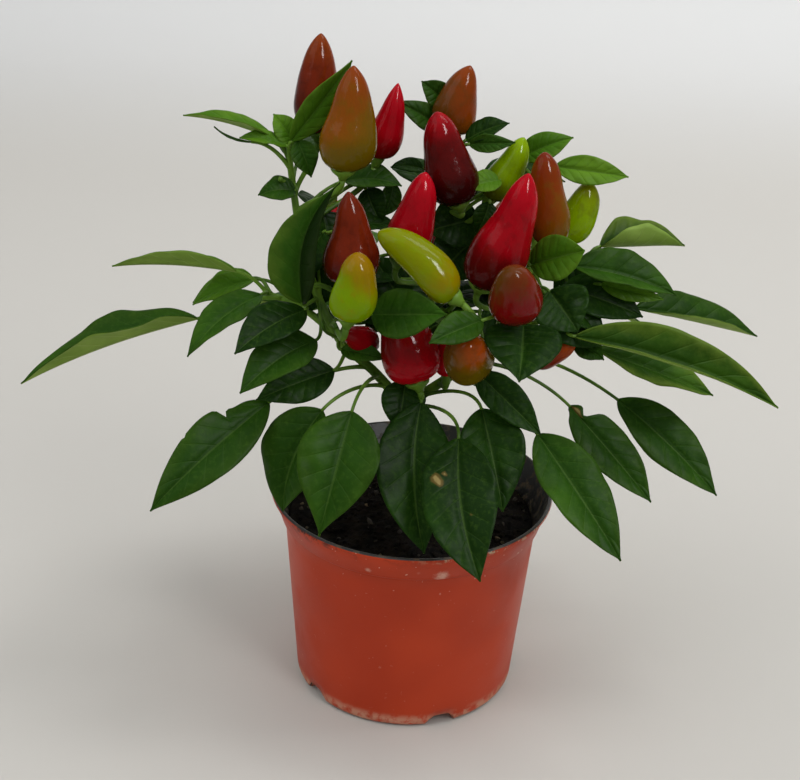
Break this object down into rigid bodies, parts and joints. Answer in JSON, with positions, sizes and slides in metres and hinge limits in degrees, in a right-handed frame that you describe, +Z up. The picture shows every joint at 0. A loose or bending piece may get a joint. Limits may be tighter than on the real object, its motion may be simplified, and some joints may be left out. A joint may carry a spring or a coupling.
{
  "type": "potted chilli pepper plant",
  "caption": "Bushy ornamental chilli plant with upright fruits at several stages of ripeness, rooted in dark soil in a round terracotta-coloured plastic nursery pot.",
  "frame": {"origin": "centre of the pot's underside, on the surface the pot stands on", "axes": "+Z up the stem; -Y towards the side where the lower leaves lean out over the rim; +X to the right seen from that side"},
  "size_m": [0.2568, 0.1609, 0.235],
  "materials": {
    "pot": "satin",
    "soil": "matte",
    "stem": "satin",
    "leaf": "satin",
    "fruit_green": "gloss",
    "fruit_olive": "gloss",
    "fruit_brown": "gloss",
    "fruit_maroon": "gloss",
    "fruit_red": "gloss"
  },
  "bodies": {
    "root": {"pot": "pot", "soil": "soil", "stems": "stem", "fruit_top_left_brown": "fruit_brown", "fruit_top_left_olive": "fruit_olive", "fruit_top_left_red": "fruit_red", "fruit_top_middle_brown": "fruit_brown", "fruit_top_middle_maroon": "fruit_maroon", "fruit_top_right_lime": "fruit_green", "fruit_right_red": "fruit_red", "fruit_right_brown": "fruit_brown", "fruit_right_yellow": "fruit_green", "fruit_middle_red": "fruit_red", "fruit_middle_slanting": "fruit_green", "fruit_left_brown": "fruit_brown", "fruit_front_lime": "fruit_green", "fruit_right_round": "fruit_maroon", "fruit_low_dark_red": "fruit_maroon", "fruit_low_orange": "fruit_brown", "fruit_low_small_red": "fruit_red", "fruit_low_left_red": "fruit_red", "fruit_inner_red": "fruit_maroon", "fruit_under_right": "fruit_maroon", "fruit_back_red": "fruit_red", "fruit_back_olive": "fruit_olive", "leaf_front_1": "leaf", "leaf_front_2": "leaf", "leaf_front_3": "leaf", "leaf_front_4": "leaf", "leaf_front_right_1": "leaf", "leaf_front_right_2": "leaf", "leaf_front_right_3": "leaf", "leaf_front_left_1": "leaf", "leaf_front_left_2": "leaf", "leaf_front_left_3": "leaf", "leaf_left_1": "leaf", "leaf_left_2": "leaf", "leaf_left_3": "leaf", "leaf_left_4": "leaf", "leaf_left_5": "leaf", "leaf_left_6": "leaf", "leaf_far_left": "leaf", "leaf_middle_1": "leaf", "leaf_middle_2": "leaf", "leaf_middle_3": "leaf", "leaf_inner_right": "leaf", "leaf_right_1": "leaf", "leaf_right_2": "leaf", "leaf_right_3": "leaf", "leaf_right_4": "leaf", "leaf_far_right": "leaf", "leaf_right_5": "leaf", "leaf_top_right": "leaf", "leaf_top_left_1": "leaf", "leaf_top_left_2": "leaf", "leaf_upper_left": "leaf", "leaf_back_1": "leaf", "leaf_back_2": "leaf", "leaf_back_3": "leaf", "leaf_back_4": "leaf"}
  },
  "joints": []
}
